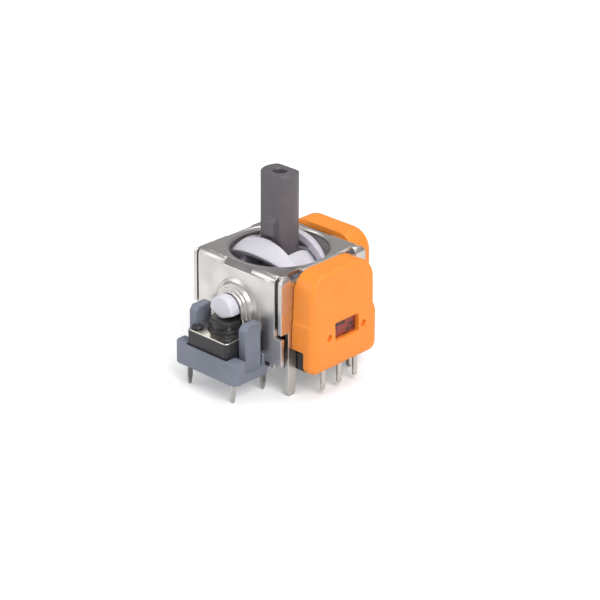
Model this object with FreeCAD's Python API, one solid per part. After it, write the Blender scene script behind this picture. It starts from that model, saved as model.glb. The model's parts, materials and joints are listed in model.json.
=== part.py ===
import FreeCAD, Part
import math
import os
from FreeCAD import Vector

# Two-axis thumb stick of a game controller, the kind that is soldered on a board.
# A stamped steel box carries a plastic base, two magnetic angle sensors in moulded
# housings, and a push switch in a bracket. Inside it a lower shaft and a crossed
# upper arch turn about two level axes that meet under the stick.
#
# Frame: millimetres, +Z up, origin on the stick's axis in the plane of the board.
# +X looks at one sensor, +Y at the other one, and the push switch is on the -Y side.

os.makedirs("parts", exist_ok=True)

# Clearances
running_fit = 0.05
slip_gap = 0.08
seat_gap = 0.05
dome_gap = 0.30
side_gap = 0.15

# Steel box
box_size = 13.0
sheet = 0.5
box_top = 11.25
box_bottom = 1.3
bend_radius = 0.75
opening_radius = 5.38
coined_edge = 0.22
leg_width = 1.2
leg_inner = 4.2
leg_tip = -2.6
leg_point = 0.2
side_wall_bottom = 2.4
corner_cut_bottom = 4.4
corner_cut_top = 4.9
slit_right = 0.5
slit_left = 0.22
relief_half = 2.0
relief_leg = 0.7
hook_slot_start = 2.8
hook_slot_end = 5.0
hook_slot_depth = 0.9
crimp_width = 0.7
crimp_drop = 0.5

# Shafts that turn in the box
shaft_height = 6.5
shaft_radius = 1.5
neck_radius = 1.4
neck_gap = 0.2
tilt_angle = 22.0
blade_half_width = 1.1
blade_half_height = 0.5
blade_length = 0.5

# Collar pressed out of the front wall round the switch end of the lower shaft
collar_steps = 3
collar_radius = 2.75
collar_step = 0.4
collar_first = 0.45
collar_rise = 0.33
collar_bottom = 4.95

# Upper arch
arch_radius = 6.6
arch_thickness = 1.1
arch_half_width = 3.15
arch_slot_half = 2.0
arch_slot_margin = 0.5
arch_leg = 0.65
arch_shoulder = 2.8
arch_eye_radius = 2.6

# Lower shaft
shaft_rail_bottom = 1.1
shaft_slot_length = 4.0
nub_radius = 1.65
nub_start = 7.75
nub_length = 1.15
nub_edge = 0.2
nub_heel_radius = 0.85
nub_side_drop = 0.15
rail_pocket_radius = 2.2
rail_pocket_depth = 0.9
pin_boss_radius = 1.15
pin_radius = 0.6
pin_gap = 0.03

# Stick
stick_radius = 2.05
stick_top = 19.9
stick_flat = 1.42
stick_chamfer = 0.15
stick_foot_radius = 2.9
key_half_width = 0.7
key_proud = 0.15
key_top = 14.6
bore_radius = 0.65
bore_depth = 4.0
bore_mouth = 0.3

# Return spring and its seat
seat_bottom = 2.75
seat_flange = 0.35
seat_top = 3.75
seat_radius = 3.4
seat_hub_radius = 1.7
seat_stem_radius = 1.9
seat_stem_length = 0.75
spring_radius = 2.6
spring_wire = 0.17
spring_turns = 3
spring_steps = 16
spring_sides = 8

# Base
base_height = 2.4
base_floor = 1.0
spring_well_radius = 3.75
tongue_half_width = 4.1
tongue_reach = 8.1
tongue_bottom = 0.3
tongue_top = 2.3
cradle_top = 6.1

# Sensor housings, described for the one on the +X side
housing_face = 9.2
housing_skirt = 9.73
housing_half_width = 5.05
housing_top = 11.55
housing_bottom = 0.45
housing_crown_radius = 2.6
housing_foot_radius = 0.9
housing_edge = 0.55
housing_wall = 0.8
shoulder_low = 5.0
shoulder_high = 5.9
window_half_width = 1.55
window_bottom = 3.65
window_top = 5.75
dimple_radius = 0.28
dimple_depth = 0.3
dimple_offset = 2.6
dimple_height = 4.36
side_notch_top = 2.9

# Sensor boards, chips, pins and magnets
board_back = 8.2
board_thickness = 0.5
board_half_width = 4.0
board_bottom = 1.15
board_top = 5.6
chip_half_width = 0.95
chip_bottom = 4.15
chip_top = 5.25
chip_thickness = 0.4
sensor_pin_pitch = 2.5
sensor_pin_count = 3
sensor_pin_width = 0.6
sensor_pin_thickness = 0.25
sensor_pin_top = 2.6
sensor_pin_tip = -2.0
holder_radius = 2.1
holder_end = 7.9
magnet_radius = 1.3
magnet_thickness = 0.65

# Push switch
switch_size = 5.9
switch_centre = -8.12
switch_bottom = 0.85
switch_top = 4.15
plate_thickness = 0.15
plate_inset = 0.05
plate_corner = 0.45
post_offset_x = 2.2
post_offset_y = 2.05
post_radius = 0.45
post_head_radius = 0.65
post_head_height = 0.3
button_radius = 1.65
button_top_radius = 1.4
button_step = 4.85
button_gap = 0.05
button_flange_radius = 2.05
button_flange_bottom = 3.5
button_stem_radius = 0.55
button_stem_bottom = 2.86
dome_radius = 1.9
dome_bottom = 2.3
dome_thickness = 0.08
terminal_pitch_x = 6.5
terminal_pitch_y = 4.5
terminal_width = 0.7
terminal_thickness = 0.2
terminal_top = 1.5
terminal_taper = 0.9
terminal_tip_width = 0.3

# Switch bracket
bracket_half_width = 4.35
bracket_front = 11.41
bracket_rim = 2.5
bracket_floor = 0.8
bracket_corner = 1.0
bracket_post_start = 10.2
bracket_post_end = 6.95
bracket_post_top = 6.45
bracket_post_outer = 4.2
bracket_post_inner = 3.15
bracket_post_corner = 0.55

# Sizes worked out from the ones above
box_half = box_size / 2
box_inner = box_half - sheet
arch_half_length = box_inner - side_gap
arch_leg_inner = arch_half_length - arch_leg
arch_inner_radius = arch_radius - arch_thickness
shaft_dome_radius = arch_inner_radius - dome_gap
shaft_reach = arch_leg_inner - side_gap
shaft_half_width = shaft_dome_radius * math.sin(
    math.asin(shaft_reach / shaft_dome_radius) - math.radians(tilt_angle))
shaft_slot_half = stick_radius + side_gap
housing_back = box_half + seat_gap
holder_start = box_half + 2 * seat_gap
blade_end = holder_start + blade_length
board_front = board_back + board_thickness
switch_plate_top = switch_top + plate_thickness
button_top = shaft_height - nub_heel_radius - button_gap
nub_end = nub_start + nub_length
base_half = box_inner - slip_gap
big = 40.0


def box(x0, x1, y0, y1, z0, z1):
    """A block between two corners."""
    return Part.makeBox(x1 - x0, y1 - y0, z1 - z0, Vector(x0, y0, z0))


def rod_x(radius, x0, x1, y=0.0, z=shaft_height):
    """A round bar along X."""
    return Part.makeCylinder(radius, x1 - x0, Vector(x0, y, z), Vector(1, 0, 0))


def rod_y(radius, y0, y1, x=0.0, z=shaft_height):
    """A round bar along Y."""
    return Part.makeCylinder(radius, y1 - y0, Vector(x, y0, z), Vector(0, 1, 0))


def rod_z(radius, z0, z1, x=0.0, y=0.0):
    """A round bar along Z."""
    return Part.makeCylinder(radius, z1 - z0, Vector(x, y, z0))


def ball(radius):
    """A ball about the point where the two shaft axes meet."""
    return Part.makeSphere(radius, Vector(0, 0, shaft_height))


def prism(points, direction):
    """A closed outline of straight lines, pushed along a direction."""
    wire = Part.makePolygon([Vector(*p) for p in points + points[:1]])
    return Part.Face(wire).extrude(Vector(*direction))


def edges_where(shape, test):
    """The edges whose middle point passes a test."""
    chosen = []
    for edge in shape.Edges:
        middle = edge.valueAt((edge.FirstParameter + edge.LastParameter) / 2)
        if test(middle):
            chosen.append(edge)
    return chosen


def turned(shape, degrees):
    """A copy turned about the stick's axis."""
    copy = shape.copy()
    copy.rotate(Vector(0, 0, 0), Vector(0, 0, 1), degrees)
    return copy


def mirrored_x(shape):
    """A copy on the other side of the YZ plane."""
    return shape.mirror(Vector(0, 0, 0), Vector(1, 0, 0))


def fused(shapes):
    """Several solids joined to one."""
    return shapes[0].fuse(shapes[1:]).removeSplitter()


def slot_down_x(radius, x0, x1, bottom):
    """A round hole along X that runs open down to a height."""
    return rod_x(radius, x0, x1).fuse(box(x0, x1, -radius, radius, bottom, shaft_height))


def slot_down_y(radius, y0, y1, bottom):
    """A round hole along Y that runs open down to a height."""
    return rod_y(radius, y0, y1).fuse(box(-radius, radius, y0, y1, bottom, shaft_height))


def rounded_plate(half_x, half_y, z0, z1, radius, centre_y):
    """A flat plate with round corners."""
    plate = box(-half_x, half_x, centre_y - half_y, centre_y + half_y, z0, z1)
    uprights = edges_where(plate, lambda p: abs(p.z - (z0 + z1) / 2) < (z1 - z0) / 4)
    return plate.makeFillet(radius, uprights)


# Steel box, stamped and bent from one sheet

def box_shell():
    """The bent cap, with the round opening for the stick."""
    outer = box(-box_half, box_half, -box_half, box_half, box_bottom, box_top)
    outer = outer.makeFillet(bend_radius, edges_where(outer, lambda p: p.z > box_top - 0.01))
    inner_top = box_top - sheet
    inner = box(-box_inner, box_inner, -box_inner, box_inner, box_bottom - 1, inner_top)
    inner = inner.makeFillet(bend_radius - sheet, edges_where(inner, lambda p: p.z > inner_top - 0.01))
    opening = rod_z(opening_radius, box_top - 2 * sheet, box_top + 1)
    bevel = Part.makeCone(opening_radius, opening_radius + coined_edge, coined_edge,
                          Vector(0, 0, box_top - coined_edge))
    return outer.cut([inner, opening, bevel])


def bend_relief(degrees):
    """The flat struck across the middle of a bend."""
    far = box_half + 1
    outline = [(-relief_half, -far, box_top + 1), (-relief_half, -far, box_top - relief_leg),
               (-relief_half, -box_half, box_top - relief_leg),
               (-relief_half, relief_leg - box_half, box_top),
               (-relief_half, relief_leg - box_half, box_top + 1)]
    return turned(prism(outline, (2 * relief_half, 0, 0)), degrees)


def corner_slits():
    """The slits that part the front and rear walls from the side walls."""
    cuts = []
    depth = box_half - bend_radius
    for side, width in ((1, slit_right), (-1, slit_left)):
        inner = box_inner - width
        slit = box(inner, box_inner, -box_half - 1, -depth, corner_cut_bottom, box_top + 1)
        gap = box(inner, box_half + 1, -box_half - 1, -leg_inner - leg_width,
                  corner_cut_bottom, corner_cut_top)
        under = box(box_inner, box_half + 1, -box_inner, -leg_inner - leg_width,
                    box_bottom - 1, corner_cut_top)
        for cut in (slit, gap, under):
            front = cut if side > 0 else mirrored_x(cut)
            cuts += [front, front.mirror(Vector(0, 0, 0), Vector(0, 1, 0))]
    return cuts


def frame_leg(side_x, side_y):
    """One solder leg, with its tip thinned to a point that finds its hole."""
    y0 = leg_inner
    y1 = leg_inner + leg_width
    half = leg_width / 2
    middle = (y0 + y1) / 2
    outline = [(box_inner, y0, side_wall_bottom + 1), (box_inner, y0, leg_tip + 2 * leg_point),
               (box_inner, middle - half + leg_point, leg_tip),
               (box_inner, middle + half - leg_point, leg_tip),
               (box_inner, y1, leg_tip + 2 * leg_point), (box_inner, y1, corner_cut_top)]
    outline.append((box_inner, y0, corner_cut_top))
    leg = prism(outline[1:], (sheet, 0, 0))
    if side_x < 0:
        leg = mirrored_x(leg)
    if side_y < 0:
        leg = leg.mirror(Vector(0, 0, 0), Vector(0, 1, 0))
    return leg


def front_collar():
    """The stepped collar round the lower shaft's switch end."""
    rings = []
    for step in range(collar_steps):
        radius = collar_radius - step * collar_step
        front = -(box_half + collar_first + step * collar_rise)
        rings.append(slot_down_y(radius, front, -box_inner, collar_bottom))
    return fused(rings)


def metal_frame():
    frame = box_shell()
    cuts = [bend_relief(0), bend_relief(180), bend_relief(-90)] + corner_slits()
    for side in (1, -1):
        y0, y1 = sorted((side * hook_slot_start, side * hook_slot_end))
        cuts.append(box(box_half - hook_slot_depth, box_half + 1, y0, y1,
                        box_top - bend_radius, box_top + 1))
    for x0, x1 in ((box_inner, box_half + 1), (-box_half - 1, -box_inner)):
        cuts.append(box(x0, x1, -leg_inner, leg_inner, box_bottom - 1, side_wall_bottom))
        cuts.append(slot_down_x(shaft_radius + running_fit, x0, x1, box_bottom - 1))
    cuts.append(box(-leg_inner, leg_inner, box_inner, box_half + 1, box_bottom - 1, side_wall_bottom))
    cuts.append(slot_down_y(shaft_radius + running_fit, box_inner, box_half + 1, box_bottom - 1))
    frame = frame.cut(cuts)
    solids = [frame, front_collar()]
    for side_x in (1, -1):
        for side_y in (1, -1):
            solids.append(frame_leg(side_x, side_y))
        x0, x1 = sorted((side_x * (box_inner - slit_right), side_x * (box_inner - slit_right - crimp_width)))
        for y0, y1 in ((-box_half, -box_inner), (box_inner, box_half)):
            solids.append(box(x0, x1, y0, y1, box_bottom - crimp_drop, box_bottom + 1))
    frame = fused(solids)
    switch_room = switch_size / 2 + 2 * slip_gap
    terminal_room = terminal_pitch_x / 2 + terminal_thickness / 2 + 2 * slip_gap
    head_top = switch_plate_top + post_head_height + 2 * seat_gap
    front = -(box_half + collar_first + collar_steps * collar_rise)
    return frame.cut([
        slot_down_y(neck_radius + neck_gap, front - 1, -box_inner + 1, box_bottom - 2),
        box(-switch_room, switch_room, -box_half - 2, -box_inner + 1, box_bottom - 2, head_top),
        box(-terminal_room, terminal_room, -box_half - 2, -box_inner + 1, box_bottom - 2,
            terminal_top + 2 * slip_gap)])


# Black base that closes the box from below

def cradle(degrees):
    """An upright that fills a wall's slot and carries a shaft from below."""
    half = shaft_radius + running_fit - slip_gap
    upright = box(box_inner + seat_gap, box_half - seat_gap, -half, half,
                  tongue_top - 1, cradle_top)
    return turned(upright.cut(rod_x(shaft_radius + running_fit, box_inner - 1, box_half + 1)), degrees)


def base_plate():
    block = box(-base_half, base_half, -base_half, base_half, 0, base_height)
    pocket_half = terminal_pitch_x / 2 + terminal_thickness / 2 + slip_gap
    pocket_end = switch_centre + switch_size / 2 + 2 * slip_gap
    block = block.cut([rod_z(spring_well_radius, base_floor, base_height + 1),
                       box(-pocket_half, pocket_half, -base_half - 1, pocket_end, -1, base_height + 1)])
    solids = [block]
    for degrees, reach in ((0, tongue_reach), (90, tongue_reach), (180, box_half - seat_gap)):
        tongue = box(box_inner - 1, reach, -tongue_half_width, tongue_half_width,
                     tongue_bottom, tongue_top)
        solids += [turned(tongue, degrees), cradle(degrees)]
    return fused(solids)


# Sensor housing, made for +X and turned for +Y

def housing_outline(half, bottom, top, crown, foot, x0, x1):
    """The arched outline of the housing as a block between two depths."""
    block = box(x0, x1, -half, half, bottom, top)
    middle = (x0 + x1) / 2
    block = block.makeFillet(crown, edges_where(
        block, lambda p: abs(p.x - middle) < 0.01 and p.z > top - 0.01))
    return block.makeFillet(foot, edges_where(
        block, lambda p: abs(p.x - middle) < 0.01 and p.z < bottom + 0.01))


def rounded_front(depth):
    """The housing's outer form up to a depth, with its front edge rounded."""
    block = housing_outline(housing_half_width, housing_bottom, housing_top,
                            housing_crown_radius, housing_foot_radius, housing_back, depth)
    return block.makeFillet(housing_edge, edges_where(block, lambda p: p.x > depth - 0.01))


def sensor_housing():
    below = prism([(housing_back - 1, -big, -big), (big, -big, -big),
                   (big, -big, shoulder_low), (housing_skirt, -big, shoulder_low),
                   (housing_face, -big, shoulder_high), (housing_back - 1, -big, shoulder_high)],
                  (0, 2 * big, 0))
    skirt = rounded_front(housing_skirt).common(below)
    body = fused([rounded_front(housing_face), skirt])
    room = housing_half_width - housing_wall
    floor = housing_bottom + housing_wall - 0.2
    upper = housing_outline(room, floor, housing_top - housing_wall,
                            housing_crown_radius - housing_wall, housing_foot_radius / 3,
                            housing_back - 1, housing_face - housing_wall + 0.1)
    board_room = box(housing_back - 1, board_front, -room, room, floor, board_top + slip_gap)
    pin_room = box(housing_back, board_front + sensor_pin_thickness, slip_gap - board_half_width * 0.9,
                   board_half_width * 0.9 - slip_gap, floor, board_top - slip_gap)
    notch = box(housing_back - 1, tongue_reach + seat_gap, -big, big, -1, side_notch_top)
    window = box(board_front - slip_gap, big, -window_half_width, window_half_width,
                 window_bottom, window_top)
    cuts = [upper, board_room, pin_room, notch, window]
    for side in (1, -1):
        cuts.append(rod_x(dimple_radius, housing_skirt - dimple_depth, housing_skirt + 1,
                          side * dimple_offset, dimple_height))
    hole_half = sensor_pin_width / 2 + slip_gap
    for y in sensor_pin_rows():
        cuts.append(box(board_front - slip_gap, board_front + sensor_pin_thickness + slip_gap,
                        y - hole_half, y + hole_half, housing_bottom - 1, floor + 1))
    return body.cut(cuts)


def sensor_pin_rows():
    """The pins' places along the housing."""
    middle = (sensor_pin_count - 1) / 2
    return [(i - middle) * sensor_pin_pitch for i in range(sensor_pin_count)]


def sensor_board():
    return box(board_back, board_front, -board_half_width, board_half_width, board_bottom, board_top)


def hall_chip():
    return box(board_front, board_front + chip_thickness, -chip_half_width, chip_half_width,
               chip_bottom, chip_top)


def sensor_pins():
    pins = []
    half = sensor_pin_width / 2
    for y in sensor_pin_rows():
        blade = box(board_front, board_front + sensor_pin_thickness, y - half, y + half,
                    sensor_pin_tip + half, sensor_pin_top)
        tip = rod_x(half, board_front, board_front + sensor_pin_thickness, y, sensor_pin_tip + half)
        pins.append(fused([blade, tip]))
    return Part.Compound(pins)


def drive_blade(gap):
    """The flat blade on a shaft's sensor end, or the pocket that it sits in."""
    return box(box_inner, blade_end + gap, -blade_half_width - gap, blade_half_width + gap,
               shaft_height - blade_half_height - gap, shaft_height + blade_half_height + gap)


def magnet_holder():
    disc = rod_x(holder_radius, holder_start, holder_end)
    disc = disc.makeChamfer(seat_gap * 3, edges_where(disc, lambda p: p.x > holder_end - 0.01))
    pocket = rod_x(magnet_radius, holder_end - magnet_thickness, holder_end + 1)
    return disc.cut([drive_blade(slip_gap), pocket])


def magnet():
    return rod_x(magnet_radius, holder_end - magnet_thickness, holder_end)


# Upper arch, a slotted strip of a hollow ball that turns about X

def upper_arch():
    shell = ball(arch_radius).common(box(-arch_half_length, arch_half_length, -arch_half_width,
                                         arch_half_width, shaft_height - arch_radius,
                                         shaft_height + arch_radius))
    hollow = ball(arch_inner_radius).common(
        box(-arch_leg_inner, arch_leg_inner, -big, big, shaft_height, shaft_height + big))
    passage = box(-arch_leg_inner, arch_leg_inner, -big, big, shaft_height - big, shaft_height)
    low = shaft_height
    side = [(-big, -arch_half_width, low + big), (-big, -arch_half_width, low + arch_shoulder),
            (-big, -arch_eye_radius, low), (-big, arch_eye_radius, low),
            (-big, arch_half_width, low + arch_shoulder), (-big, arch_half_width, low + big)]
    outline = fused([prism(side, (2 * big, 0, 0)), rod_x(arch_eye_radius, -big, big)])
    slot_half = arch_leg_inner - arch_slot_margin
    slot = box(-slot_half, slot_half, -arch_slot_half, arch_slot_half,
               shaft_height + stick_radius, shaft_height + big)
    arch = shell.common(outline).cut([hollow, passage, slot])
    near_end = rod_x(shaft_radius, -box_half + seat_gap, -arch_leg_inner - seat_gap)
    far_end = rod_x(shaft_radius, arch_leg_inner + seat_gap, box_half + seat_gap)
    return fused([arch, near_end, far_end, drive_blade(0)])


# Lower shaft, which carries the stick and presses the switch

def nub_outline():
    """The switch end's outline: round above, and a heel about the shaft's axis below."""
    reach = math.hypot(nub_radius, nub_side_drop)
    side_angle = math.atan2(-nub_side_drop, nub_radius)
    heel_angle = side_angle - math.acos(nub_heel_radius / reach)

    def at(radius, angle):
        return Vector(radius * math.cos(angle), 0, shaft_height + radius * math.sin(angle))

    right = at(nub_radius, 0)
    left = at(nub_radius, math.pi)
    low_right = at(reach, side_angle)
    low_left = Vector(-low_right.x, 0, low_right.z)
    heel_right = at(nub_heel_radius, heel_angle)
    heel_left = Vector(-heel_right.x, 0, heel_right.z)
    heel_low = at(nub_heel_radius, -math.pi / 2)
    return Part.Wire([
        Part.Arc(right, at(nub_radius, math.pi / 2), left).toShape(),
        Part.LineSegment(left, low_left).toShape(),
        Part.LineSegment(low_left, heel_left).toShape(),
        Part.Arc(heel_left, heel_low, heel_right).toShape(),
        Part.LineSegment(heel_right, low_right).toShape(),
        Part.LineSegment(low_right, right).toShape()])


def nub_bar(y0, y1):
    """A bar along Y with the switch end's outline."""
    bar = Part.Face(nub_outline()).extrude(Vector(0, y1 - y0, 0))
    bar.translate(Vector(0, y0, 0))
    return bar


def switch_nub():
    """The white knob over the switch button."""
    nub = nub_bar(-nub_end, -nub_start)
    return nub.makeFillet(nub_edge, edges_where(nub, lambda p: p.y < 0.01 - nub_end))


def switch_neck():
    """The round bar to the knob, with the knob's heel where it passes over the button."""
    over_button = switch_centre + button_flange_radius + side_gap
    bare = rod_y(neck_radius, over_button, -shaft_slot_length)
    heeled = rod_y(neck_radius, -nub_start, over_button).common(nub_bar(-nub_end, over_button))
    return fused([bare, heeled])


def lower_shaft():
    block = ball(shaft_dome_radius).common(
        box(-shaft_half_width, shaft_half_width, -big, big,
            shaft_height - shaft_rail_bottom, shaft_height + big))
    block = block.cut(box(-shaft_slot_half, shaft_slot_half, -shaft_slot_length, shaft_slot_length,
                          0, shaft_height + big))
    pockets = []
    for x0, x1 in ((shaft_half_width - rail_pocket_depth, shaft_half_width + 1),
                   (-shaft_half_width - 1, rail_pocket_depth - shaft_half_width)):
        pockets.append(rod_x(rail_pocket_radius, x0, x1).cut(rod_x(pin_boss_radius, x0, x1)))
    block = block.cut(pockets)
    hub = rod_y(shaft_radius, shaft_slot_length, box_half + seat_gap)
    body = fused([block, hub, switch_neck(), turned(drive_blade(0), 90), switch_nub()])
    return body.cut(rod_x(pin_radius + pin_gap / 2, -big, big))


def stick_pivot_pin():
    length = shaft_half_width - seat_gap
    return rod_x(pin_radius, -length, length)


# Stick with its two flats, key ribs and rounded foot

def stick():
    low = shaft_height - stick_foot_radius
    body = rod_z(stick_radius, low - 1, stick_top)
    body = body.makeChamfer(stick_chamfer, edges_where(body, lambda p: p.z > stick_top - 0.01))
    flats_from = shaft_height + math.sqrt(arch_inner_radius ** 2 - stick_radius ** 2) - seat_gap
    for y0, y1 in ((-big, -stick_flat), (stick_flat, big)):
        body = body.cut(box(-big, big, y0, y1, flats_from, stick_top + 1))
    body = body.makeChamfer(stick_chamfer, edges_where(
        body, lambda p: p.z > stick_top - 0.01 and abs(abs(p.y) - stick_flat) < 0.01))
    key = box(-key_half_width, key_half_width, -stick_flat - key_proud, stick_flat + key_proud,
              flats_from - 1, key_top)
    body = fused([body, key])
    foot_room = box(-big, big, -big, big, shaft_height, big).fuse(ball(stick_foot_radius))
    body = body.common(foot_room)
    bore = rod_z(bore_radius, stick_top - bore_depth, stick_top + 1)
    mouth = Part.makeCone(bore_radius, bore_radius + bore_mouth, bore_mouth,
                          Vector(0, 0, stick_top - bore_mouth))
    return body.cut([bore, mouth, rod_x(pin_radius + pin_gap, -big, big)])


# Return spring and its seat

def spring_seat():
    flange = rod_z(seat_radius, seat_bottom, seat_bottom + seat_flange)
    hub = rod_z(seat_hub_radius, seat_bottom, seat_top)
    stem = rod_z(seat_stem_radius, seat_bottom - seat_stem_length, seat_bottom + seat_flange)
    return fused([flange, hub, stem]).cut(ball(stick_foot_radius + seat_gap))


def return_spring():
    """The coil between the base and the seat, as short straight lengths round a helix."""
    low = base_floor + spring_wire
    high = seat_bottom - spring_wire
    slope = math.atan2(high - low, 2 * math.pi * spring_radius * spring_turns)
    corners = []
    for side in range(spring_sides + 1):
        angle = 2 * math.pi * (side + 0.5) / spring_sides
        corners.append(Vector(spring_wire * math.cos(angle), 0, spring_wire * math.sin(angle)))
    sections = []
    count = spring_turns * spring_steps
    for step in range(count + 1):
        section = Part.makePolygon(corners)
        section.rotate(Vector(0, 0, 0), Vector(1, 0, 0), math.degrees(slope))
        section.translate(Vector(spring_radius, 0, low + (high - low) * step / count))
        section.rotate(Vector(0, 0, 0), Vector(0, 0, 1), 360 * step / spring_steps)
        sections.append(section)
    return Part.makeLoft(sections, True, True)


# Push switch

def post_places():
    """The four heat-staked posts' places."""
    return [(sx * post_offset_x, switch_centre + sy * post_offset_y) for sx in (1, -1) for sy in (1, -1)]


def switch_body():
    half = switch_size / 2
    block = rounded_plate(half, half, switch_bottom, switch_top, plate_corner, switch_centre)
    well = rod_z(button_flange_radius + 2 * slip_gap, dome_bottom, switch_top + 1, 0, switch_centre)
    solids = [block.cut(well)]
    for x, y in post_places():
        head = rod_z(post_head_radius, switch_plate_top, switch_plate_top + post_head_height, x, y)
        head = head.makeFillet(post_head_height / 2, edges_where(
            head, lambda p: p.z > switch_plate_top + post_head_height - 0.01))
        solids += [rod_z(post_radius, switch_top - 1, switch_plate_top, x, y), head]
    return fused(solids)


def switch_cover_plate():
    half = switch_size / 2 - plate_inset
    plate = rounded_plate(half, half, switch_top, switch_plate_top, plate_corner, switch_centre)
    holes = [rod_z(button_radius + slip_gap, switch_top - 1, switch_plate_top + 1, 0, switch_centre)]
    for x, y in post_places():
        holes.append(rod_z(post_radius + seat_gap, switch_top - 1, switch_plate_top + 1, x, y))
    return plate.cut(holes)


def switch_button():
    profile = [(0, button_stem_bottom), (button_stem_radius, button_stem_bottom),
               (button_stem_radius, button_flange_bottom), (button_flange_radius, button_flange_bottom),
               (button_flange_radius, switch_top - seat_gap), (button_radius, switch_top - seat_gap),
               (button_radius, button_step), (button_top_radius, button_step + 0.2),
               (button_top_radius, button_top - 0.12), (button_top_radius - 0.12, button_top),
               (0, button_top)]
    outline = Part.makePolygon([Vector(r, switch_centre, z) for r, z in profile + profile[:1]])
    return Part.Face(outline).revolve(Vector(0, switch_centre, 0), Vector(0, 0, 1), 360)


def switch_dome():
    """The sprung steel disc that snaps under the button."""
    rise = button_stem_bottom - dome_bottom - seat_gap
    radius = (dome_radius ** 2 + rise ** 2) / (2 * rise)
    centre = Vector(0, switch_centre, dome_bottom + rise - radius)
    cap = Part.makeSphere(radius, centre).cut(Part.makeSphere(radius - dome_thickness, centre))
    return cap.common(rod_z(dome_radius, dome_bottom, dome_bottom + rise + 1, 0, switch_centre))


def terminal_places():
    """The four terminals' places, all round the switch's centre."""
    half_y = terminal_pitch_y / 2
    return [(side, switch_centre + end * half_y) for side in (1, -1) for end in (1, -1)]


def switch_terminals():
    terminals = []
    x1 = terminal_pitch_x / 2 + terminal_thickness / 2
    x0 = x1 - terminal_thickness
    half = terminal_width / 2
    tip = terminal_tip_width / 2
    for side, y in terminal_places():
        strip = prism([(x0, y - half, terminal_top), (x0, y - half, leg_tip + terminal_taper),
                       (x0, y - tip, leg_tip), (x0, y + tip, leg_tip),
                       (x0, y + half, leg_tip + terminal_taper), (x0, y + half, terminal_top)],
                      (terminal_thickness, 0, 0))
        arm = box(switch_size / 2, x1, y - half, y + half, terminal_top - terminal_thickness, terminal_top)
        lead = fused([strip, arm])
        terminals.append(lead if side > 0 else mirrored_x(lead))
    return Part.Compound(terminals)


# Moulded bracket that holds the switch in front of the box

def switch_bracket():
    back = box_half + seat_gap
    tray = box(-bracket_half_width, bracket_half_width, -bracket_front, -back, 0, bracket_rim)
    tray = tray.makeFillet(bracket_corner, edges_where(
        tray, lambda p: p.y < 0.01 - bracket_front and abs(p.z - bracket_rim / 2) < 0.01))
    half = switch_size / 2 + slip_gap
    front = switch_centre - half
    heel_end = switch_centre + half
    heel_half = bracket_post_inner
    solids = [tray, box(-heel_half, heel_half, -back - 1, heel_end, 0, bracket_floor)]
    post = box(bracket_post_inner, bracket_post_outer, -bracket_post_start, -bracket_post_end,
               bracket_floor, bracket_post_top)
    post = post.makeFillet(bracket_post_corner, edges_where(
        post, lambda p: p.y < 0.01 - bracket_post_start and p.z > bracket_post_top - 0.01))
    solids += [post, mirrored_x(post)]
    pocket = box(-half, half, front, heel_end + 1, bracket_floor, bracket_post_top + 1)
    cuts = [pocket]
    slot_end = terminal_pitch_x / 2 + terminal_thickness / 2 + slip_gap
    slot_half = terminal_width / 2 + slip_gap
    for side, y in terminal_places():
        slot = box(half - slip_gap, slot_end, y - slot_half, y + slot_half, -1, terminal_top + slip_gap)
        cuts.append(slot if side > 0 else mirrored_x(slot))
    return fused(solids).cut(cuts)


nodes = {
    "metal_frame": metal_frame(),
    "base_plate": base_plate(),
    "switch_bracket": switch_bracket(),
    "switch_body": switch_body(),
    "switch_cover_plate": switch_cover_plate(),
    "switch_dome": switch_dome(),
    "switch_terminals": switch_terminals(),
    "switch_button": switch_button(),
    "upper_arch": upper_arch(),
    "lower_shaft": lower_shaft(),
    "stick_pivot_pin": stick_pivot_pin(),
    "stick": stick(),
    "spring_seat": spring_seat(),
    "return_spring": return_spring(),
}
sensor_pieces = {
    "sensor_housing": sensor_housing(),
    "sensor_board": sensor_board(),
    "hall_chip": hall_chip(),
    "sensor_pins": sensor_pins(),
    "magnet_holder": magnet_holder(),
    "magnet": magnet(),
}
for name, shape in sensor_pieces.items():
    nodes["x_" + name] = shape
    nodes["y_" + name] = turned(shape, 90)

for name, shape in nodes.items():
    shape.exportStep("parts/" + name + ".step")
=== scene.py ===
import bmesh
import bpy
import json
import math
from mathutils import Matrix, Vector

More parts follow.
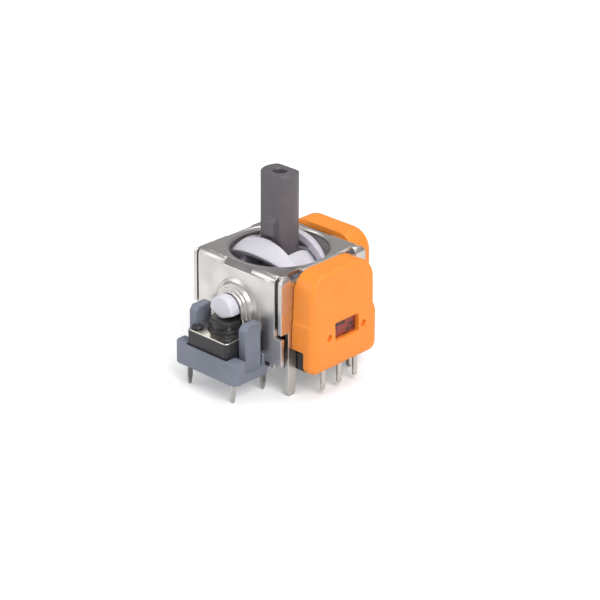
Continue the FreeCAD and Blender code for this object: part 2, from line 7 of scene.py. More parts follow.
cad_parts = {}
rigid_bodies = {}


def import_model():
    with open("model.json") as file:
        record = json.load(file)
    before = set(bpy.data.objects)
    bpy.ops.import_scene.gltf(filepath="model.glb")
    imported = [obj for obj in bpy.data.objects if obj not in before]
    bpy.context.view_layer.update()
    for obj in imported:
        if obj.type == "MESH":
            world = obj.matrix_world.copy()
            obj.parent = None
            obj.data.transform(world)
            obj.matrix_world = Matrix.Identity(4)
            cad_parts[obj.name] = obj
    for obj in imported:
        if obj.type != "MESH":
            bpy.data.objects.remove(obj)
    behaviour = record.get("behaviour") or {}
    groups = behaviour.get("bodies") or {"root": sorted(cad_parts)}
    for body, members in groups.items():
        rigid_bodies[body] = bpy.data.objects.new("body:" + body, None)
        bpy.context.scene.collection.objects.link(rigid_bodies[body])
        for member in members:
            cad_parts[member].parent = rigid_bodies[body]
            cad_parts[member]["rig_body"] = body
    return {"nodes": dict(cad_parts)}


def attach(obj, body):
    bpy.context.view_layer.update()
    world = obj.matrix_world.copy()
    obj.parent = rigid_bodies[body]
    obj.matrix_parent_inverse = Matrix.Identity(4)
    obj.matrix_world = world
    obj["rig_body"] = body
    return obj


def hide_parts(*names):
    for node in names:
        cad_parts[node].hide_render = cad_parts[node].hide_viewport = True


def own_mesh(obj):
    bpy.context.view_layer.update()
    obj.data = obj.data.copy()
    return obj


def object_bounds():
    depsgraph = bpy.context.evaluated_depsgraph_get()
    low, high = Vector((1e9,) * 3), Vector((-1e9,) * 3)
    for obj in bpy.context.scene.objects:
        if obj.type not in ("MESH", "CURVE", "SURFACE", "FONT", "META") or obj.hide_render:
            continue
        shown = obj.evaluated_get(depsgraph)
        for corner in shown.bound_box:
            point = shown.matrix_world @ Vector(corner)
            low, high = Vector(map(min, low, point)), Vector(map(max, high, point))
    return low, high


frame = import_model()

# Looks of a thumb stick module: steel box, moulded plastics and tinned leads.
# Blender's lengths are metres, and mm turns a length in millimetres into them.
mm = 0.001
cad_low, cad_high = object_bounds()

# Camera, from the fit of the photograph
camera_place = Vector((150.057, -156.613, 106.801)) * mm
camera_azimuth = math.radians(43.187)
camera_elevation = math.radians(25.180)
camera_roll = math.radians(0.489)
camera_focal_px = 2222.12
frame_px = 600
sensor_width = 36.0

# Lengths that several pieces share, in millimetres
turn_z = 6.5            # height at which the two shafts' axes cross
switch_y = -8.12        # middle of the push switch
plate_top = 4.3         # top of the switch's bright plate
plate_low = 4.15        # its underside
lead_pitch = 2.5        # from one sensor lead to the next
usual_break = 0.05      # width of a broken edge

# Axes, by their place in a point
X, Y, Z = 0, 1, 2


# Small helpers

def node(name):
    """A CAD piece's object."""
    return frame["nodes"][name]


def join_mesh(name, mesh):
    """A new object in the scene from a mesh."""
    piece = bpy.data.objects.new(name, mesh)
    bpy.context.scene.collection.objects.link(piece)
    return piece


def named(piece, name):
    """The same object and its mesh under a name."""
    piece.name = name
    piece.data.name = name
    return piece


def settled(piece):
    """The same object with its modifiers worked into a plain mesh."""
    graph = bpy.context.evaluated_depsgraph_get()
    mesh = bpy.data.meshes.new_from_object(piece.evaluated_get(graph))
    piece.modifiers.clear()
    old = piece.data
    piece.data = mesh
    if old.users == 0:
        bpy.data.meshes.remove(old)
    return piece


def merged_copy(name, source):
    """A copy of a CAD piece with its loose triangles joined."""
    mesh = node(source).data.copy()
    mesh.materials.clear()
    bm = bmesh.new()
    bm.from_mesh(mesh)
    bmesh.ops.remove_doubles(bm, verts=bm.verts, dist=0.0005 * mm)
    bm.to_mesh(mesh)
    bm.free()
    return join_mesh(name, mesh)


def smooth(piece):
    """Soft shading all over."""
    for face in piece.data.polygons:
        face.use_smooth = True
    return piece


def eased(piece, width, steps=2, angle=30):
    """Breaks a piece's sharp edges with a small bevel; the width is in millimetres."""
    bm = bmesh.new()
    bm.from_mesh(piece.data)
    bmesh.ops.dissolve_limit(bm, angle_limit=math.radians(1.0), verts=bm.verts, edges=bm.edges)
    bm.to_mesh(piece.data)
    bm.free()
    bevel = piece.modifiers.new("edge", "BEVEL")
    bevel.width = width * mm
    bevel.segments = steps
    bevel.limit_method = "ANGLE"
    bevel.angle_limit = math.radians(angle)
    bevel.use_clamp_overlap = False
    bevel.miter_outer = "MITER_ARC"
    smooth(settled(piece))
    weighted = piece.modifiers.new("shade", "WEIGHTED_NORMAL")
    weighted.keep_sharp = True
    return piece


def softened(piece, voxel, passes):
    """Rounds all edges of a piece as a mould leaves them; the voxel is in millimetres."""
    fill = piece.modifiers.new("fill", "REMESH")
    fill.mode = "VOXEL"
    fill.voxel_size = voxel * mm
    fill.adaptivity = 0.0
    ease = piece.modifiers.new("ease", "SMOOTH")
    ease.factor = 0.5
    ease.iterations = passes
    return smooth(settled(piece))


def on_side(piece, side):
    """A piece made for the +X side, turned to the +Y side if it belongs there."""
    if side == "y":
        piece.data.transform(Matrix.Rotation(math.pi / 2, 4, "Z"))
    return piece


# Shader parts. A value may be a plain one or another node's socket.

def feed(tree, value, socket):
    """Gives a socket its value."""
    if isinstance(value, bpy.types.NodeSocket):
        tree.links.new(value, socket)
    else:
        socket.default_value = value


def object_coords(tree):
    """The piece's own coordinates."""
    return tree.nodes.new("ShaderNodeTexCoord").outputs["Object"]


def noise_at(tree, coords, scale, detail=3.0, rough=0.5):
    """A noise texture on given coordinates."""
    noise = tree.nodes.new("ShaderNodeTexNoise")
    noise.inputs["Detail"].default_value = detail
    noise.inputs["Roughness"].default_value = rough
    tree.links.new(coords, noise.inputs["Vector"])
    feed(tree, scale, noise.inputs["Scale"])
    return noise.outputs["Fac"]


def difference(tree, value, less):
    """One value less another."""
    step = tree.nodes.new("ShaderNodeMath")
    step.operation = "SUBTRACT"
    feed(tree, value, step.inputs[0])
    feed(tree, less, step.inputs[1])
    return step.outputs[0]


def mixed(tree, factor, low, high):
    """A colour between two, by a factor."""
    mix = tree.nodes.new("ShaderNodeMix")
    mix.data_type = "RGBA"
    feed(tree, factor, mix.inputs["Factor"])
    feed(tree, low, mix.inputs["A"])
    feed(tree, high, mix.inputs["B"])
    return mix.outputs["Result"]


def ramped(tree, value, low, high, to_low=0.0, to_high=1.0):
    """A value stretched from one range to another, held at its ends."""
    ramp = tree.nodes.new("ShaderNodeMapRange")
    ramp.inputs["From Min"].default_value = low
    ramp.inputs["From Max"].default_value = high
    feed(tree, to_low, ramp.inputs["To Min"])
    feed(tree, to_high, ramp.inputs["To Max"])
    tree.links.new(value, ramp.inputs["Value"])
    return ramp.outputs["Result"]


def bumped(tree, height, strength):
    """A normal from a height, for relief a hundredth of a millimetre deep."""
    bump = tree.nodes.new("ShaderNodeBump")
    bump.inputs["Distance"].default_value = 0.01 * mm
    tree.links.new(height, bump.inputs["Height"])
    feed(tree, strength, bump.inputs["Strength"])
    return bump.outputs["Normal"]


# Shader groups

def new_group(name, inputs):
    """A shader group with named inputs that puts out a colour, a gloss and a normal."""
    tree = bpy.data.node_groups.new(name, "ShaderNodeTree")
    for label, kind, value in inputs:
        socket = tree.interface.new_socket(label, in_out="INPUT", socket_type=kind)
        socket.default_value = value
    for label, kind in (("Color", "NodeSocketColor"), ("Roughness", "NodeSocketFloat"),
                        ("Normal", "NodeSocketVector")):
        tree.interface.new_socket(label, in_out="OUTPUT", socket_type=kind)
    given = tree.nodes.new("NodeGroupInput").outputs
    results = tree.nodes.new("NodeGroupOutput").inputs
    return tree, given, results


def moulded_skin_group():
    """Moulded plastic: slow colour drift, a fine eroded grain and uneven gloss."""
    tree, given, results = new_group(
        "moulded_skin",
        [("Base", "NodeSocketColor", (0.5, 0.5, 0.5, 1)),
         ("Drift", "NodeSocketColor", (0.4, 0.4, 0.4, 1)),
         ("Drift Scale", "NodeSocketFloat", 300.0),
         ("Grain Scale", "NodeSocketFloat", 9000.0),
         ("Grain Height", "NodeSocketFloat", 0.2),
         ("Gloss Low", "NodeSocketFloat", 0.4),
         ("Gloss High", "NodeSocketFloat", 0.55)])
    coords = object_coords(tree)
    drift = ramped(tree, noise_at(tree, coords, given["Drift Scale"]), low=0.35, high=0.7)
    grain = noise_at(tree, coords, given["Grain Scale"], detail=2.0)
    gloss = ramped(tree, drift, 0.0, 1.0, given["Gloss Low"], given["Gloss High"])
    feed(tree, mixed(tree, drift, given["Base"], given["Drift"]), results["Color"])
    feed(tree, gloss, results["Roughness"])
    feed(tree, bumped(tree, grain, given["Grain Height"]), results["Normal"])
    return tree


def plated_steel_group():
    """Tinned sheet: rolled streaks, a cloudy film and scattered pits."""
    tree, given, results = new_group(
        "plated_steel",
        [("Bright", "NodeSocketColor", (0.7, 0.7, 0.7, 1)),
         ("Dull", "NodeSocketColor", (0.5, 0.5, 0.5, 1)),
         ("Pit", "NodeSocketColor", (0.1, 0.1, 0.1, 1)),
         ("Pit Scale", "NodeSocketFloat", 4000.0),
         ("Pit Share", "NodeSocketFloat", 0.0),
         ("Streak Height", "NodeSocketFloat", 0.1),
         ("Gloss Low", "NodeSocketFloat", 0.2),
         ("Gloss High", "NodeSocketFloat", 0.4)])
    coords = object_coords(tree)
    upright = tree.nodes.new("ShaderNodeMapping")
    upright.inputs["Scale"].default_value = (1.0, 1.0, 0.12)
    tree.links.new(coords, upright.inputs["Vector"])
    streaks = noise_at(tree, upright.outputs["Vector"], 6000.0, detail=4.0, rough=0.6)
    cloud = ramped(tree, noise_at(tree, coords, 350.0), low=0.35, high=0.68)
    spots = noise_at(tree, coords, given["Pit Scale"], detail=2.0, rough=0.65)
    over = difference(tree, spots, difference(tree, 1.0, given["Pit Share"]))
    pits = ramped(tree, over, low=0.0, high=0.05)
    film = mixed(tree, cloud, given["Bright"], given["Dull"])
    gloss = ramped(tree, cloud, 0.0, 1.0, given["Gloss Low"], given["Gloss High"])
    feed(tree, mixed(tree, pits, film, given["Pit"]), results["Color"])
    feed(tree, gloss, results["Roughness"])
    feed(tree, bumped(tree, streaks, given["Streak Height"]), results["Normal"])
    return tree


MOULDED_SKIN = moulded_skin_group()
PLATED_STEEL = plated_steel_group()


# Materials

def shader_of(material):
    """A material's own Principled node."""
    return material.node_tree.nodes["Principled BSDF"]


def finish_from_group(name, group, values):
    """A material whose colour, gloss and normal come from a group."""
    material = bpy.data.materials.new(name)
    material.use_nodes = True
    tree = material.node_tree
    use = tree.nodes.new("ShaderNodeGroup")
    use.node_tree = group
    for label, value in values.items():
        use.inputs[label].default_value = value
    for label, target in (("Color", "Base Color"), ("Roughness", "Roughness"),
                          ("Normal", "Normal")):
        tree.links.new(use.outputs[label], shader_of(material).inputs[target])
    return material


def plastic(name, base, drift, gloss, grain=0.2):
    """Moulded plastic of one colour; the grain's height is a share of the bump's depth."""
    return finish_from_group(name, MOULDED_SKIN, {
        "Base": (*base, 1), "Drift": (*drift, 1), "Grain Height": grain,
        "Gloss Low": gloss[0], "Gloss High": gloss[1]})


def sheet_metal(name, bright, dull, gloss, pit=(0.1, 0.1, 0.1), pit_share=0.0):
    """Tinned or plated metal."""
    material = finish_from_group(name, PLATED_STEEL, {
        "Bright": (*bright, 1), "Dull": (*dull, 1), "Pit": (*pit, 1), "Pit Share": pit_share,
        "Gloss Low": gloss[0], "Gloss High": gloss[1]})
    shader_of(material).inputs["Metallic"].default_value = 1.0
    return material


def let_light_in(material, weight, reach):
    """Light that scatters under the skin; its reach per colour is in millimetres."""
    inputs = shader_of(material).inputs
    inputs["Subsurface Weight"].default_value = weight
    inputs["Subsurface Radius"].default_value = [length * mm for length in reach]
    inputs["Subsurface Scale"].default_value = 1.0


def add_dark_marks(material):
    """A few plain dark shapes over a material, read along both level axes."""
    tree = material.node_tree
    place = tree.nodes.new("ShaderNodeSeparateXYZ")
    tree.links.new(object_coords(tree), place.inputs["Vector"])
    flat = tree.nodes.new("ShaderNodeCombineXYZ")
    along = difference(tree, place.outputs["Y"], place.outputs["X"])
    tree.links.new(along, flat.inputs["X"])
    tree.links.new(place.outputs["Z"], flat.inputs["Y"])
    bricks = tree.nodes.new("ShaderNodeTexBrick")
    for label, value in (("Color1", (0, 0, 0, 1)), ("Color2", (1, 1, 1, 1)),
                         ("Mortar", (0, 0, 0, 1)), ("Mortar Size", 0.06), ("Scale", 900.0),
                         ("Brick Width", 0.75), ("Row Height", 0.45)):
        bricks.inputs[label].default_value = value
    tree.links.new(flat.outputs["Vector"], bricks.inputs["Vector"])
    marks = ramped(tree, bricks.outputs["Color"], low=0.55, high=0.6)
    target = shader_of(material).inputs["Base Color"]
    under = target.links[0].from_socket
    tree.links.new(mixed(tree, marks, under, (0.05, 0.02, 0.02, 1)), target)


ORANGE = plastic("orange_moulding", (0.98, 0.31, 0.035), (0.95, 0.285, 0.03), (0.42, 0.5), 0.15)
let_light_in(ORANGE, 0.15, (0.6, 0.25, 0.05))
WHITE = plastic("white_moulding", (0.70, 0.68, 0.74), (0.64, 0.62, 0.69), (0.3, 0.42), 0.08)
let_light_in(WHITE, 0.4, (0.8, 0.8, 0.9))
DARK = plastic("dark_moulding", (0.135, 0.118, 0.132), (0.115, 0.1, 0.113), (0.35, 0.5))
BLACK = plastic("black_moulding", (0.035, 0.033, 0.036), (0.022, 0.021, 0.023), (0.3, 0.45))
GREY = plastic("grey_moulding", (0.205, 0.225, 0.285), (0.18, 0.2, 0.25), (0.45, 0.55), 0.25)
RED_BOARD = plastic("red_board", (0.23, 0.03, 0.012), (0.14, 0.018, 0.01), (0.25, 0.4), 0.1)
MARKED_BOARD = plastic("marked_board", (0.30, 0.045, 0.03), (0.22, 0.03, 0.02), (0.3, 0.4), 0.1)
add_dark_marks(MARKED_BOARD)
STEEL = sheet_metal("tinned_sheet", (0.80, 0.775, 0.745), (0.66, 0.64, 0.62), (0.3, 0.42),
                    pit=(0.14, 0.12, 0.1), pit_share=0.3)
# The struck flats' dark colour is a painted dark reflection; their higher gloss numbers are their
# duller finish.
STRUCK_DARK_REFLECTION = sheet_metal("struck_sheet_painted_reflection", (0.26, 0.25, 0.25), (0.19, 0.18, 0.18), (0.4, 0.5))
LEADS = sheet_metal("tinned_leads", (0.70, 0.68, 0.66), (0.56, 0.55, 0.53), (0.22, 0.4))
PLATE = sheet_metal("cover_metal", (0.85, 0.82, 0.74), (0.72, 0.69, 0.62), (0.15, 0.28))
SPRING = sheet_metal("spring_wire", (0.55, 0.55, 0.55), (0.42, 0.42, 0.42), (0.25, 0.4))
NICKEL = sheet_metal("nickel_plating", (0.62, 0.60, 0.56), (0.5, 0.49, 0.46), (0.12, 0.25))


# Solids, with their lengths in millimetres

def solid(bm):
    """A new object from a bmesh whose points are in millimetres."""
    bmesh.ops.recalc_face_normals(bm, faces=bm.faces)
    bmesh.ops.scale(bm, vec=(mm, mm, mm), verts=bm.verts)
    mesh = bpy.data.meshes.new("solid")
    bm.to_mesh(mesh)
    bm.free()
    return join_mesh("solid", mesh)


def block(low, high, ease=0.0, only=None):
    """A block between two corners; the edges that only() picks by their middle are rounded."""
    bm = bmesh.new()
    bmesh.ops.create_cube(bm, size=1.0)
    for point in bm.verts:
        point.co = [(a + b) / 2 + c * (b - a) for a, b, c in zip(low, high, point.co)]
    if ease:
        edges = [edge for edge in bm.edges if only((edge.verts[0].co + edge.verts[1].co) / 2)]
        bmesh.ops.bevel(bm, geom=edges, offset=ease, segments=5, profile=0.5, affect="EDGES")
    return solid(bm)


def prism(outline, axis, start, end, ease=0.0):
    """An outline across an axis, pushed along it, with its far rim rounded."""
    bm = bmesh.new()
    points = []
    for across in outline:
        place = list(across)
        place.insert(axis, start)
        points.append(bm.verts.new(place))
    face = bm.faces.new(points)
    pushed = bmesh.ops.extrude_face_region(bm, geom=[face])["geom"]
    far = {item for item in pushed if isinstance(item, bmesh.types.BMVert)}
    for point in far:
        point.co[axis] = end
    if ease:
        rim = [edge for edge in bm.edges if edge.verts[0] in far and edge.verts[1] in far]
        bmesh.ops.bevel(bm, geom=rim, offset=ease, segments=6, profile=0.5, affect="EDGES")
    return solid(bm)


def lathe(profile, axis=Z, centre=(0, 0, 0), steps=72):
    """A solid turned about an axis from (radius, place) pairs that start and end on it."""
    bm = bmesh.new()
    across = [(Y, Z), (Z, X), (X, Y)][axis]
    rings = []
    for radius, place in profile:
        ring = []
        for i in range(steps if radius > 0 else 1):
            angle = 2 * math.pi * i / steps
            point = list(centre)
            point[axis] += place
            point[across[0]] += radius * math.cos(angle)
            point[across[1]] += radius * math.sin(angle)
            ring.append(bm.verts.new(point))
        rings.append(ring)
    for low, high in zip(rings, rings[1:]):
        for i in range(steps):
            j = (i + 1) % steps
            corners = [low[i % len(low)], low[j % len(low)],
                       high[j % len(high)], high[i % len(high)]]
            bm.faces.new(list(dict.fromkeys(corners)))
    return solid(bm)


def rod(radius, axis, start, end, centre=(0, 0, 0)):
    """A round bar along an axis."""
    return lathe([(0, start), (radius, start), (radius, end), (0, end)], axis, centre)


def arc(centre, radius, start, end, steps=12):
    """Points on a circle between two angles in degrees."""
    angles = [math.radians(start + (end - start) * i / steps) for i in range(steps + 1)]
    return [(centre[0] + radius * math.cos(a), centre[1] + radius * math.sin(a)) for a in angles]


def bend(start, corner, end, steps=4):
    """Points between the ends of a curve that is drawn towards a corner."""
    shares = [i / steps for i in range(1, steps)]
    return [tuple((1 - s) ** 2 * a + 2 * s * (1 - s) * b + s ** 2 * c
                  for a, b, c in zip(start, corner, end)) for s in shares]


def round_outline(half, low, high, foot, crown, lean=0.0):
    """A four-sided outline with round corners, a little narrower at its top."""
    top = half - lean
    return (arc((foot - half, low + foot), foot, 180, 270)
            + arc((half - foot, low + foot), foot, 270, 360)
            + arc((top - crown, high - crown), crown, 0, 90)
            + arc((crown - top, high - crown), crown, 90, 180))


def combined(piece, tools, how):
    """A solid with others added to it (UNION), cut from it (DIFFERENCE) or kept in common."""
    for tool in tools:
        change = piece.modifiers.new("change", "BOOLEAN")
        change.operation = how
        change.solver = "EXACT"
        change.object = tool
    settled(piece)
    for tool in tools:
        mesh = tool.data
        bpy.data.objects.remove(tool)
        bpy.data.meshes.remove(mesh)
    return piece


def spread(side, near, far):
    """The lower and the higher of two places, on the +X or (with side -1) the -X side."""
    return sorted((side * near, side * far))


# Pieces that stand for the CAD's, with the photograph's softer and finer forms

def steel_box():
    """The stamped box with its collar drawn in small rolled steps."""
    ring_radii = ((2.75, 2.4), (2.35, 2.1), (1.95, 1.8))
    ring_places = ((-6.95, -7.1), (-7.28, -7.35), (-7.61, -7.6))
    collar_foot = 5.6
    box = merged_copy("box", "metal_frame")
    for point in box.data.vertices:
        x, y, z = point.co / mm
        if y < -6.4 and abs(x) < 3 and 4.8 < z < 9.5:
            above = max(z - turn_z, 0)
            reach = math.hypot(x, above)
            for old, new in ring_radii:
                if abs(reach - old) < 0.03:
                    x, above = x * new / old, above * new / old
            for old, new in ring_places:
                if abs(y - old) < 0.02:
                    y = new
            if z > turn_z:
                z = turn_z + above
            elif z < 5:
                z = collar_foot
            point.co = Vector((x, y, z)) * mm
    return eased(box, usual_break)


def collar_flare():
    """The soft flare from the front wall into the collar."""
    axis = (0, 0, turn_z)
    profile = [(0, -6.45), (2.95, -6.45), (2.95, -6.5), (2.8, -6.53), (2.66, -6.6),
               (2.54, -6.72), (2.45, -6.88), (2.38, -7.0), (0, -7.0)]
    passage = rod(2.3, Y, -9, -5, axis)
    below = block((-4, -9, 0), (4, -5, 5.6))
    return smooth(combined(lathe(profile, Y, axis), [passage, below], "DIFFERENCE"))


def paint_reflection_on_struck_facets(piece):
    """Gives the flats struck across the top bends a rougher finish and a colour darkened as a
    painted dark reflection.
    """
    piece.data.materials.append(STRUCK_DARK_REFLECTION)
    for face in piece.data.polygons:
        x, y, z = face.center / mm
        near, far = sorted((abs(x), abs(y)))
        sloped = 0.6 < abs(face.normal.z) < 0.8
        if sloped and z > 10.45 and near < 1.98 and far > 5.6:
            face.material_index = 1


def bullet(radius, low):
    """An upright round bar with a ball top about the point where the shafts' axes meet."""
    dome = arc((0, turn_z), radius, 0, 88, 22)
    return lathe([(0, low), (radius, low)] + dome + [(0, turn_z + radius)], steps=96)


def arch_moulding():
    """The slotted strip of a hollow ball over the stick's crossing, with soft outer edges."""
    axis = (0, 0, turn_z)
    side = arc((0, turn_z), 2.6, -231, 58, 32) + [(5.3, turn_z + 8.48), (-6.3, turn_z + 7.78)]
    arch = combined(bullet(6.45, 3.0), [prism(side, X, -5.85, 5.85)], "INTERSECT")
    hollow = combined(bullet(5.5, 2.0), [block((-5.2, -9, 1), (5.2, 9, 20))], "INTERSECT")
    slot = block((-4.7, -1.95, turn_z + 2.05), (4.7, 1.8, 16))
    arch = combined(arch, [hollow, slot], "DIFFERENCE")
    journals = [rod(1.5, X, -6.45, -5.4, axis), rod(1.5, X, 5.4, 6.55, axis)]
    key = block((6.0, -1.1, 6.0), (7.1, 1.1, 7.0))
    return softened(combined(arch, journals + [key], "UNION"), 0.09, 7)


def cradle_moulding():
    """The lower shaft with a mould's soft edges."""
    return softened(merged_copy("shaft", "lower_shaft"), 0.08, 3)


def stick_moulding():
    """The stick with soft upright edges, proud ribs with sloped tops, and its bore."""
    flat, rib = 1.42, 1.88
    above_foot = block((-4, -4, 11.56), (4, 4, 21))
    body = combined(merged_copy("stick", "stick"), [above_foot], "DIFFERENCE")
    half = (arc((0, 0), 2.05, -38, 38, 16)
            + bend((1.615, 1.262), (1.479, flat), (1.15, flat)) + [(1.15, flat), (-1.15, flat)]
            + bend((-1.15, flat), (-1.479, flat), (-1.615, 1.262)))
    post = prism(half + [(-x, -y) for x, y in half], Z, 11.2, 19.9, 0.16)
    ribs = prism([(-rib, 13.0), (rib, 13.0), (rib, 14.55), (flat, 14.95), (-flat, 14.95),
                  (-rib, 14.55)], X, -0.7, 0.84)
    body = combined(body, [post, ribs], "UNION")
    bore = lathe([(0, 15.9), (0.74, 15.9), (0.74, 19.7), (0.92, 19.95), (0.92, 21), (0, 21)])
    return softened(combined(body, [bore], "DIFFERENCE"), 0.06, 1)


def sensor_cover(side):
    """The sensor housing's shell with its soft front, window and two dimples."""
    back, face = 6.55, 9.73
    outline = round_outline(4.95, 0.45, 11.55, 1.05, 2.3, 0.2)
    skirt = (arc((-3.9, 1.5), 1.05, 180, 270) + arc((4.1, 1.55), 1.1, 270, 360)
             + [(5.2, 5.2), (4.88, 6.1), (-4.95, 6.1)])
    cover = prism(outline, X, back, face, 1.0)
    cover = combined(cover, [prism(skirt, X, back, face, 0.9)], "UNION")
    before_slope = prism([(9.74, 4.6), (14, 4.6), (14, 13), (9.12, 13)], Y, -9, 9)
    cover = combined(cover, [before_slope], "DIFFERENCE")
    room = prism(round_outline(4.25, 1.05, 10.75, 0.4, 1.5), X, 6.0, 8.75)
    base_space = block((6, -9, -1), (8.15, 9, 2.9))
    window = block((8.6, -1.55, 3.75), (12, 2.05, 5.75))
    dimples = [rod(0.37, X, 9.2, 11, (0, y, 4.36)) for y in (-2.45, 2.8)]
    lead_slots = [block((8.6, y - 0.38, -1), (9.05, y + 0.38, 1.3))
                  for y in (-lead_pitch, 0, lead_pitch)]
    cuts = [room, base_space, window] + dimples + lead_slots
    return on_side(softened(combined(cover, cuts, "DIFFERENCE"), 0.08, 5), side)


def sensor_block(side):
    """The sensor's lacquered block behind the window."""
    return on_side(eased(block((8.7, -1.5, 3.6), (9.2, 2.0, 5.6)), usual_break), side)


def bracket_moulding():
    """The switch's holder: a rim in front, low ledges behind it, two posts and two tabs."""
    front = block((-4.6, -11.41, 0), (4.6, -9.75, 2.5), 0.75,
                  lambda middle: middle.y < -11.3 and 1 < middle.z < 2)
    post = [(-9.4, 0.5), (-9.4, 5.55), (-8.95, 6.05), (-7.15, 6.05), (-7.15, 0.5)]
    more = [block((-4.6, -10.6, 0), (4.6, -6.55, 0.95)), block((-3.15, -7.6, 0), (3.15, -5.1, 0.8))]
    cuts = [block((-3.0, -11.1, 0.8), (3.0, -5.0, 7))]
    for side in (1, -1):
        low, high = spread(side, 3.1, 4.2)
        more.append(prism(post, X, low, high))
        low, high = spread(side, 3.4, 4.2)
        more.append(block((low, -6.95, 0.1), (high, -6.55, 2.2)))
        low, high = spread(side, 2.95, 3.43)
        for y in (switch_y - 2.25, switch_y + 2.25):
            cuts.append(block((low, y - 0.43, -1), (high, y + 0.43, 1.58)))
    return softened(combined(combined(front, more, "UNION"), cuts, "DIFFERENCE"), 0.07, 3)


def switch_case():
    """The switch's case, cut level where its plate lies."""
    above_plate = block((-4, -12, plate_top), (4, -5, 6))
    case = combined(merged_copy("case", "switch_body"), [above_plate], "DIFFERENCE")
    return eased(case, usual_break)


def cover_sheet():
    """The bright plate on the switch."""
    outline = [(x, y + switch_y) for x, y in round_outline(2.9, -2.9, 2.9, 0.45, 0.45)]
    holes = [rod(1.97, Z, 4, 5, (0, switch_y, 0))]
    for x in (-2.2, 2.2):
        for y in (-2.05, 2.05):
            holes.append(rod(0.5, Z, 4, 5, (x, switch_y + y, 0)))
    return eased(combined(prism(outline, Z, plate_low, plate_top), holes, "DIFFERENCE"), 0.04)


def button_cap():
    """The black button: a flange, a wide ring and a narrower top."""
    profile = [(0, 2.86), (0.5, 2.86), (0.55, 2.91), (0.55, 3.5), (2.05, 3.5), (2.05, 4.08),
               (1.88, 4.1), (1.88, 4.5), (1.84, 4.58), (1.76, 4.62), (1.68, 4.64), (1.66, 4.7),
               (1.7, 4.78), (1.7, 5.42), (1.66, 5.52), (1.56, 5.58), (1.4, 5.6), (0, 5.6)]
    return eased(lathe(profile, Z, (0, switch_y, 0)), 0.02)


def switch_leads():
    """The switch's terminals with broken edges."""
    return eased(merged_copy("switch_leads", "switch_terminals"), 0.04)


def base_moulding():
    """The black base, raised at its front corners."""
    cuts = [block((3.6, -7, -1), (7, -4.4, 0.9)), block((-7, -7, -1), (-3.6, -4.4, 0.9))]
    return eased(combined(merged_copy("base", "base_plate"), cuts, "DIFFERENCE"), usual_break)


# Repeated pieces

def grid_repeat_group():
    """Geometry nodes that set copies of the object on the corners of a level grid."""
    tree = bpy.data.node_groups.new("set_on_grid", "GeometryNodeTree")
    for label, kind in (("Geometry", "NodeSocketGeometry"), ("Columns", "NodeSocketInt"),
                        ("Rows", "NodeSocketInt"), ("Width", "NodeSocketFloat"),
                        ("Depth", "NodeSocketFloat"), ("Place", "NodeSocketVector"),
                        ("Finish", "NodeSocketMaterial")):
        tree.interface.new_socket(label, in_out="INPUT", socket_type=kind)
    tree.interface.new_socket("Geometry", in_out="OUTPUT", socket_type="NodeSocketGeometry")
    add, link = tree.nodes.new, tree.links.new
    given, result = add("NodeGroupInput").outputs, add("NodeGroupOutput").inputs
    grid, shift = add("GeometryNodeMeshGrid"), add("GeometryNodeTransform")
    copies, real = add("GeometryNodeInstanceOnPoints"), add("GeometryNodeRealizeInstances")
    paint = add("GeometryNodeSetMaterial")
    link(given["Columns"], grid.inputs["Vertices X"])
    link(given["Rows"], grid.inputs["Vertices Y"])
    link(given["Width"], grid.inputs["Size X"])
    link(given["Depth"], grid.inputs["Size Y"])
    link(grid.outputs["Mesh"], shift.inputs["Geometry"])
    link(given["Place"], shift.inputs["Translation"])
    link(shift.outputs["Geometry"], copies.inputs["Points"])
    link(given["Geometry"], copies.inputs["Instance"])
    link(copies.outputs["Instances"], real.inputs["Geometry"])
    link(real.outputs["Geometry"], paint.inputs["Geometry"])
    link(given["Finish"], paint.inputs["Material"])
    link(paint.outputs["Geometry"], result["Geometry"])
    return tree


SET_ON_GRID = grid_repeat_group()


def repeated(piece, columns, rows, width, depth, place, finish):
    """Copies of a small piece, made at the origin, on a grid with its middle at a place."""
    change = piece.modifiers.new("repeat", "NODES")
    change.node_group = SET_ON_GRID
    values = {"Columns": columns, "Rows": rows, "Width": width * mm, "Depth": depth * mm,
              "Place": [length * mm for length in place], "Finish": finish}
    for item in SET_ON_GRID.interface.items_tree:
        if item.in_out == "INPUT" and item.name in values:
            change[item.identifier] = values[item.name]
    return settled(piece)


def staked_heads():
    """Four melted post heads, each a low dome with a dimple."""
    profile = [(0, 4.2), (0.44, 4.2), (0.44, 4.3), (0.62, 4.32), (0.66, 4.42), (0.6, 4.54),
               (0.46, 4.6), (0.32, 4.58), (0.2, 4.5), (0, 4.48)]
    head = smooth(lathe(profile, steps=32))
    return repeated(head, 2, 2, 4.4, 4.1, (0, switch_y, 0), BLACK)


def sensor_leads(side):
    """Three flat leads with round tips."""
    half, tip, top, thickness = 0.3, -1.7, 2.6, 0.25
    outline = [(-half, top), (-half, tip)] + arc((0, tip), half, 180, 360, 16) + [(half, top)]
    lead = eased(prism(outline, X, -thickness / 2, thickness / 2), usual_break)
    return on_side(repeated(lead, 1, 3, 0, 2 * lead_pitch, (8.825, 0, 0), LEADS), side)


# What each piece stands for

def dress(piece, source, material):
    """Gives a new piece its finish and its body, and hides the CAD piece that it stands for."""
    piece.data.materials.clear()
    piece.data.materials.append(material)
    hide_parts(source)
    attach(piece, node(source)["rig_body"])
    return piece


def repaint(source, material):
    """A CAD piece that stays, with a better finish."""
    target = node(source)
    if not target.data.materials:
        target.data.materials.append(material)
    for place in target.material_slots:
        place.material = material


def sprung(name, source):
    """A copy of a CAD spring piece with the spring finish, its body and a mesh of its own."""
    piece = named(merged_copy(name, source), name)
    dress(piece, source, SPRING)
    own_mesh(piece)


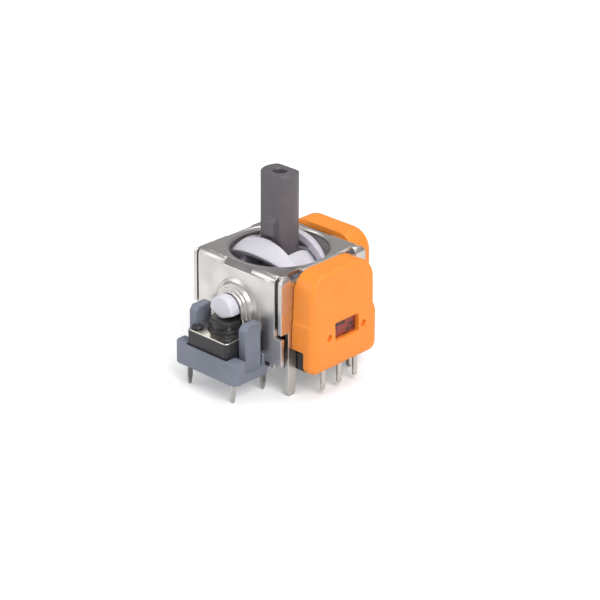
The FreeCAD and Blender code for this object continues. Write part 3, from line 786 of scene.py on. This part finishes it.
for name, make, source, slot, material in (
        ("steel_box", steel_box, "metal_frame", "steel", STEEL),
        ("collar_flare", collar_flare, "metal_frame", "steel", STEEL),
        ("arch_moulding", arch_moulding, "upper_arch", "white_plastic", WHITE),
        ("cradle_moulding", cradle_moulding, "lower_shaft", "white_plastic", WHITE),
        ("stick_moulding", stick_moulding, "stick", "dark_plastic", DARK),
        ("bracket_moulding", bracket_moulding, "switch_bracket", "grey_plastic", GREY),
        ("switch_case", switch_case, "switch_body", "black_plastic", BLACK),
        ("staked_heads", staked_heads, "switch_body", "black_plastic", BLACK),
        ("button_cap", button_cap, "switch_button", "black_plastic", BLACK),
        ("cover_sheet", cover_sheet, "switch_cover_plate", "lead_metal", PLATE),
        ("switch_leads", switch_leads, "switch_terminals", "lead_metal", LEADS),
        ("base_moulding", base_moulding, "base_plate", "black_plastic", BLACK)):
    dress(named(make(), name), source, material)
paint_reflection_on_struck_facets(bpy.data.objects["steel_box"])

for side in ("x", "y"):
    dress(named(sensor_cover(side), side + "_cover"),
          side + "_sensor_housing", ORANGE)
    dress(named(sensor_leads(side), side + "_leads"), side + "_sensor_pins", LEADS)
    dress(named(sensor_block(side), side + "_sensor_block"),
          side + "_hall_chip", MARKED_BOARD)
    repaint(side + "_sensor_board", RED_BOARD)
    repaint(side + "_magnet_holder", DARK)
    repaint(side + "_magnet", NICKEL)
repaint("stick_pivot_pin", LEADS)
repaint("spring_seat", BLACK)
sprung("coil", "return_spring")
sprung("snap_dome", "switch_dome")


# Floor, light and camera, with lengths in metres

def white_floor():
    """A white floor that keeps the shadow and is plain white elsewhere."""
    half, own_light = 3.0, 0.28
    low = cad_low[Z] - 0.02 * mm
    mesh = bpy.data.meshes.new("floor")
    mesh.from_pydata([(-half, -half, low), (half, -half, low), (half, half, low),
                      (-half, half, low)], [], [(0, 1, 2, 3)])
    floor = join_mesh("floor", mesh)
    material = bpy.data.materials.new("floor_white")
    material.use_nodes = True
    inputs = shader_of(material).inputs
    inputs["Base Color"].default_value = (0.9, 0.9, 0.9, 1)
    inputs["Roughness"].default_value = 0.9
    inputs["Specular IOR Level"].default_value = 0.0
    inputs["Emission Color"].default_value = (1, 1, 1, 1)
    tree = material.node_tree
    path = tree.nodes.new("ShaderNodeLightPath")
    seen = tree.nodes.new("ShaderNodeMath")
    seen.operation = "MULTIPLY"
    seen.inputs[1].default_value = own_light
    tree.links.new(path.outputs["Is Camera Ray"], seen.inputs[0])
    tree.links.new(seen.outputs[0], inputs["Emission Strength"])
    floor.data.materials.append(material)


def studio_world():
    """Even soft surroundings, plain white where the camera sees them."""
    world = bpy.data.worlds.new("surroundings")
    bpy.context.scene.world = world
    world.use_nodes = True
    tree = world.node_tree
    background = tree.nodes["Background"]
    background.inputs["Color"].default_value = (1, 1, 1, 1)
    path = tree.nodes.new("ShaderNodeLightPath")
    level = ramped(tree, path.outputs["Is Camera Ray"], 0.0, 1.0, to_low=0.30, to_high=1.0)
    tree.links.new(level, background.inputs["Strength"])


def soft_lamp(name, place, size, power):
    """A square soft box that looks at the part's middle."""
    data = bpy.data.lights.new(name, "AREA")
    data.shape = "SQUARE"
    data.size = size
    data.energy = power
    lamp = bpy.data.objects.new(name, data)
    lamp.location = place
    lamp.rotation_mode = "QUATERNION"
    to_middle = Vector((0, 0, 0.005)) - Vector(place)
    lamp.rotation_quaternion = to_middle.to_track_quat("-Z", "Y")
    bpy.context.scene.collection.objects.link(lamp)


def photo_camera():
    """The camera at the photograph's place."""
    data = bpy.data.cameras.new("camera")
    data.sensor_width = sensor_width
    data.lens = sensor_width * camera_focal_px / frame_px
    data.clip_start = 0.01
    data.clip_end = 10.0
    camera = bpy.data.objects.new("camera", data)
    bpy.context.scene.collection.objects.link(camera)
    level = math.cos(camera_elevation)
    back = Vector((math.sin(camera_azimuth) * level, -math.cos(camera_azimuth) * level,
                   math.sin(camera_elevation)))
    turn = back.to_track_quat("Z", "Y").to_matrix().to_4x4()
    turn = turn @ Matrix.Rotation(camera_roll, 4, "Z")
    camera.matrix_world = Matrix.Translation(camera_place) @ turn
    bpy.context.scene.camera = camera


white_floor()
studio_world()
soft_lamp("key", (0.30, -0.12, 0.32), size=0.22, power=1.25)
soft_lamp("fill", (-0.28, -0.30, 0.22), size=0.30, power=0.55)
soft_lamp("top", (0.0, 0.10, 0.45), size=0.30, power=0.8)
photo_camera()

bpy.context.scene.view_settings.view_transform = "Standard"
